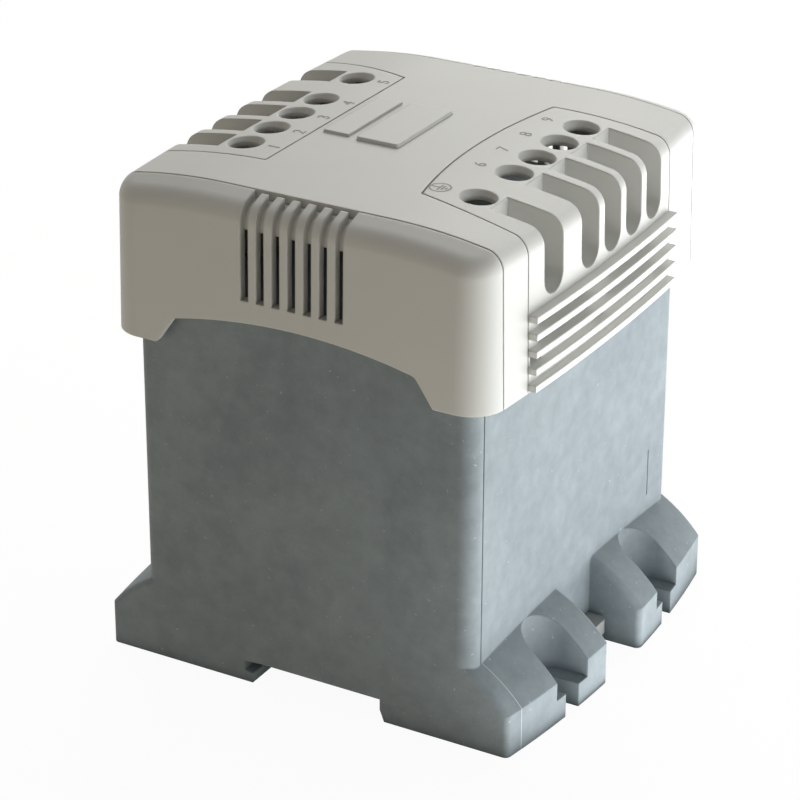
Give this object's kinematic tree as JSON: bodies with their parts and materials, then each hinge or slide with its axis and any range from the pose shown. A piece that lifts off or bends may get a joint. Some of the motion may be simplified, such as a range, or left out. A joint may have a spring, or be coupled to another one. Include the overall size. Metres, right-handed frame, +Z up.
{
  "type": "control transformer",
  "caption": "Encapsulated transformer with a light terminal cover, screw clamps on both long sides, slotted feet and a rail notch with a sprung latch.",
  "frame": {"origin": "on the standing plane below the middle of the body", "axes": "+Z up, the rail runs along Y, the terminal rows lie at +X and -X, the front end cap faces -Y"},
  "size_m": [0.111, 0.106, 0.1198],
  "materials": {
    "cast_resin": "matte",
    "cover_plastic": "satin",
    "carrier_plastic": "satin",
    "core_steel": "satin",
    "former_nylon": "satin",
    "enamelled_copper": "gloss",
    "clamp_steel": "satin",
    "tinned_copper": "satin",
    "latch_plastic": "matte",
    "spring_steel": "satin"
  },
  "bodies": {
    "housing": {"body_moulding": "cast_resin", "middle_cover": "cover_plastic", "front_end_cap": "cover_plastic", "rear_end_cap": "cover_plastic", "secondary_terminal_cover": "cover_plastic", "primary_terminal_cover": "cover_plastic", "marker_plate": "cover_plastic", "core_e_stack": "core_steel", "core_i_stack": "core_steel", "bobbin": "former_nylon", "primary_winding": "enamelled_copper", "secondary_winding": "enamelled_copper", "latch_spring": "spring_steel", "secondary_terminal_carrier": "carrier_plastic", "secondary_clamp_1": "clamp_steel", "secondary_screw_1": "clamp_steel", "secondary_contact_1": "tinned_copper", "secondary_clamp_2": "clamp_steel", "secondary_screw_2": "clamp_steel", "secondary_contact_2": "tinned_copper", "secondary_clamp_3": "clamp_steel", "secondary_screw_3": "clamp_steel", "secondary_contact_3": "tinned_copper", "secondary_clamp_4": "clamp_steel", "secondary_screw_4": "clamp_steel", "secondary_contact_4": "tinned_copper", "secondary_clamp_5": "clamp_steel", "secondary_screw_5": "clamp_steel", "secondary_contact_5": "tinned_copper", "primary_terminal_carrier": "carrier_plastic", "primary_clamp_1": "clamp_steel", "primary_screw_1": "clamp_steel", "primary_contact_1": "tinned_copper", "primary_clamp_2": "clamp_steel", "primary_screw_2": "clamp_steel", "primary_contact_2": "tinned_copper", "primary_clamp_3": "clamp_steel", "primary_screw_3": "clamp_steel", "primary_contact_3": "tinned_copper", "primary_clamp_4": "clamp_steel", "primary_screw_4": "clamp_steel", "primary_contact_4": "tinned_copper", "primary_clamp_5": "clamp_steel", "primary_screw_5": "clamp_steel", "primary_contact_5": "tinned_copper"},
    "latch": {"rail_latch": "latch_plastic"}
  },
  "joints": [
    {"name": "latch_slide", "type": "slide", "parent": "housing", "child": "latch", "axis": [1, 0, 0], "range_m": [0, 0.0034], "stiffness_N_per_m": 400, "springref_m": -0.002, "deforming": ["latch_spring"]}
  ]
}
